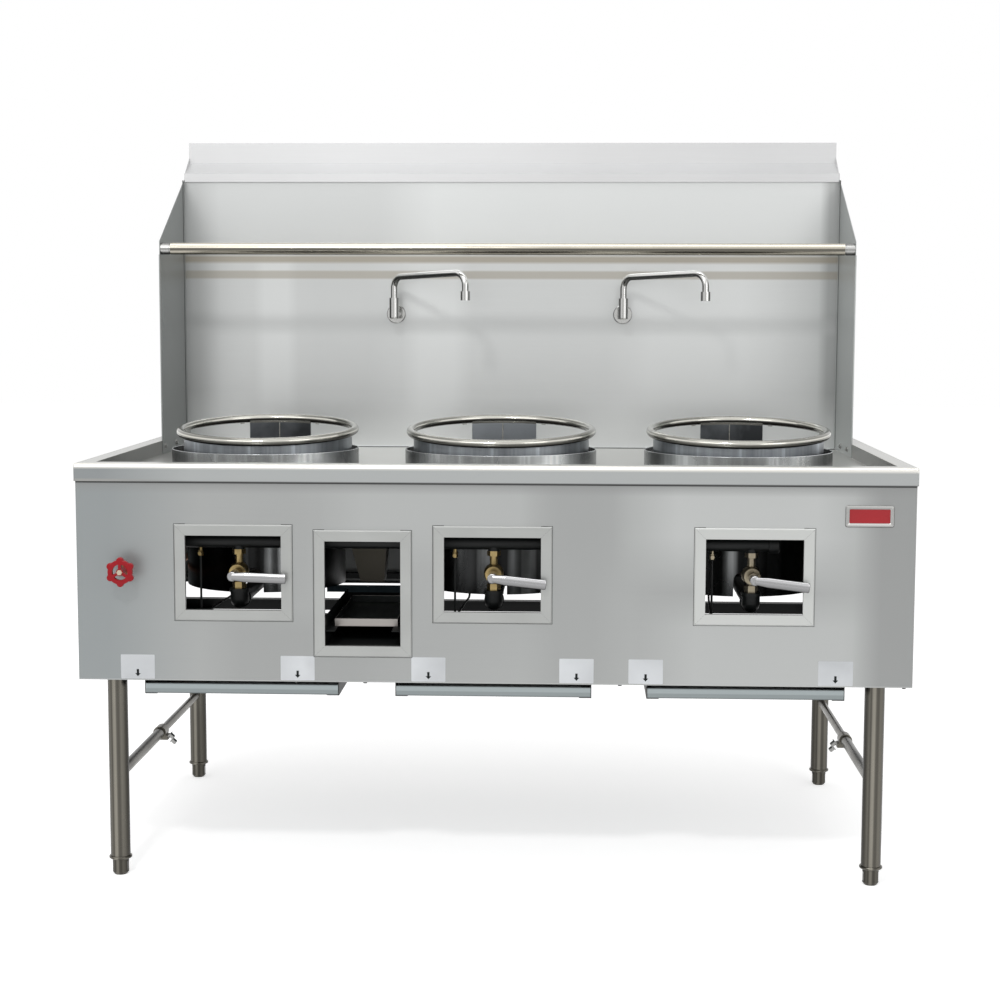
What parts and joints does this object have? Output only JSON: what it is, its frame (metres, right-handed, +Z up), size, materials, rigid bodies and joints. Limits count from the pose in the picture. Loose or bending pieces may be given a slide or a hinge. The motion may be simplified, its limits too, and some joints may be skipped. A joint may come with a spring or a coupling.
{
  "type": "wok range",
  "caption": "Gas wok range: wash-down deck with burner chambers and tilted wok rings, valve windows, drip trays, splash back with swing spouts and pot rail, on a tubular stand.",
  "frame": {"origin": "on the floor, under the middle of the overall box", "axes": "+X to the right along the range, +Y to the rear, +Z up; the front faces -Y"},
  "size_m": [1.829, 1.12, 1.714],
  "materials": {
    "deck_steel": "brushed",
    "panel_steel": "fine brushed sheet",
    "inner_steel": "dull sheet",
    "black_paint": "black paint, satin",
    "frame_steel": "satin",
    "black_pipe": "black pipe",
    "tube_steel": "dull tube",
    "valve_brass": "turned brass",
    "copper_pipe": "drawn copper",
    "splash_steel": "brushed sheet",
    "wing_steel": "brushed sheet",
    "cap_steel": "brushed sheet",
    "riser_steel": "brushed sheet",
    "rail_chrome": "polished tube",
    "socket_chrome": "polished",
    "faucet_chrome": "polished",
    "leg_steel": "polished tube",
    "brace_steel": "polished tube",
    "clamp_steel": "satin",
    "runner_steel": "dull sheet",
    "chute_steel": "dull sheet",
    "housing_paint": "black paint",
    "red_enamel": "glossy enamel",
    "waste_steel": "satin",
    "chamber_steel": "polished sheet",
    "lining_iron": "cast",
    "burner_iron": "cast",
    "lever_aluminium": "polished casting",
    "ring_steel": "polished tube on sheet",
    "tray_steel": "satin sheet",
    "foot_steel": "dark satin"
  },
  "bodies": {
    "range_body": {"deck_basin": "deck_steel", "front_panel": "panel_steel", "side_panel_left": "panel_steel", "side_panel_right": "panel_steel", "rear_panel": "inner_steel", "base_frame": "black_paint", "valve_window_frames": "frame_steel", "cleanout_frame": "frame_steel", "chamber_left": "chamber_steel", "chamber_middle": "chamber_steel", "chamber_right": "chamber_steel", "chamber_lining_left": "lining_iron", "chamber_lining_middle": "lining_iron", "chamber_lining_right": "lining_iron", "burner_left": "burner_iron", "burner_middle": "burner_iron", "burner_right": "burner_iron", "gas_manifold": "black_pipe", "manifold_brackets": "inner_steel", "gas_valve_left": "valve_brass", "gas_valve_middle": "valve_brass", "gas_valve_right": "valve_brass", "feed_pipes": "black_pipe", "pilot_valves": "valve_brass", "pilot_tubes": "tube_steel", "water_valve": "valve_brass", "water_pipes": "copper_pipe", "back_panel": "splash_steel", "wing_left": "wing_steel", "wing_right": "wing_steel", "top_cap": "cap_steel", "rear_cover": "riser_steel", "back_stiffeners": "inner_steel", "pot_rail": "rail_chrome", "rail_sockets": "socket_chrome", "faucet_bodies": "faucet_chrome", "legs": "leg_steel", "brace_left": "brace_steel", "brace_right": "brace_steel", "brace_clamps": "clamp_steel", "tray_runners": "runner_steel", "drain_chute": "chute_steel", "tray_housing": "housing_paint"},
    "valve_lever_left": {"valve_lever_left": "lever_aluminium"},
    "valve_lever_middle": {"valve_lever_middle": "lever_aluminium"},
    "valve_lever_right": {"valve_lever_right": "lever_aluminium"},
    "handwheel": {"handwheel": "red_enamel"},
    "spout_left": {"spout_left": "faucet_chrome"},
    "spout_right": {"spout_right": "faucet_chrome"},
    "wok_ring_left": {"wok_ring_left": "ring_steel"},
    "wok_ring_middle": {"wok_ring_middle": "ring_steel"},
    "wok_ring_right": {"wok_ring_right": "ring_steel"},
    "drip_tray_left": {"drip_tray_left": "tray_steel"},
    "drip_tray_middle": {"drip_tray_middle": "tray_steel"},
    "drip_tray_right": {"drip_tray_right": "tray_steel"},
    "waste_tray": {"waste_tray": "waste_steel"},
    "foot_front_left": {"foot_front_left": "foot_steel"},
    "foot_front_right": {"foot_front_right": "foot_steel"},
    "foot_rear_left": {"foot_rear_left": "foot_steel"},
    "foot_rear_right": {"foot_rear_right": "foot_steel"}
  },
  "joints": [
    {"name": "valve_left", "type": "hinge", "parent": "range_body", "child": "valve_lever_left", "pos_m": [-0.567, -0.527, 0.688], "axis": [0, -1, 0], "range_deg": [-90, 0]},
    {"name": "valve_middle", "type": "hinge", "parent": "range_body", "child": "valve_lever_middle", "pos_m": [0, -0.527, 0.688], "axis": [0, -1, 0], "range_deg": [-90, 0]},
    {"name": "valve_right", "type": "hinge", "parent": "range_body", "child": "valve_lever_right", "pos_m": [0.567, -0.527, 0.688], "axis": [0, -1, 0], "range_deg": [-90, 0]},
    {"name": "water_valve_wheel", "type": "hinge", "parent": "range_body", "child": "handwheel", "pos_m": [-0.806, -0.551, 0.6995], "axis": [0, -1, 0], "range_deg": [0, 720]},
    {"name": "spout_swing_left", "type": "hinge", "parent": "range_body", "child": "spout_left", "pos_m": [-0.304, 0.44, 1.28], "axis": [0, 0, 1], "range_deg": [-134, 46]},
    {"name": "spout_swing_right", "type": "hinge", "parent": "range_body", "child": "spout_right", "pos_m": [0.304, 0.44, 1.28], "axis": [0, 0, 1], "range_deg": [-134, 46]},
    {"name": "wok_ring_lift_left", "type": "slide", "parent": "range_body", "child": "wok_ring_left", "axis": [0, 0, 1], "range_m": [0, 0.15]},
    {"name": "wok_ring_lift_middle", "type": "slide", "parent": "range_body", "child": "wok_ring_middle", "axis": [0, 0, 1], "range_m": [0, 0.15]},
    {"name": "wok_ring_lift_right", "type": "slide", "parent": "range_body", "child": "wok_ring_right", "axis": [0, 0, 1], "range_m": [0, 0.15]},
    {"name": "drip_tray_slide_left", "type": "slide", "parent": "range_body", "child": "drip_tray_left", "axis": [0, -1, 0], "range_m": [0, 0.45]},
    {"name": "drip_tray_slide_middle", "type": "slide", "parent": "range_body", "child": "drip_tray_middle", "axis": [0, -1, 0], "range_m": [0, 0.45]},
    {"name": "drip_tray_slide_right", "type": "slide", "parent": "range_body", "child": "drip_tray_right", "axis": [0, -1, 0], "range_m": [0, 0.45]},
    {"name": "waste_tray_slide", "type": "slide", "parent": "range_body", "child": "waste_tray", "axis": [0, -1, 0], "range_m": [0, 0.3]},
    {"name": "foot_screw_front_left", "type": "slide", "parent": "range_body", "child": "foot_front_left", "axis": [0, 0, -1], "range_m": [0, 0.025]},
    {"name": "foot_screw_front_right", "type": "slide", "parent": "range_body", "child": "foot_front_right", "axis": [0, 0, -1], "range_m": [0, 0.025]},
    {"name": "foot_screw_rear_left", "type": "slide", "parent": "range_body", "child": "foot_rear_left", "axis": [0, 0, -1], "range_m": [0, 0.025]},
    {"name": "foot_screw_rear_right", "type": "slide", "parent": "range_body", "child": "foot_rear_right", "axis": [0, 0, -1], "range_m": [0, 0.025]}
  ]
}
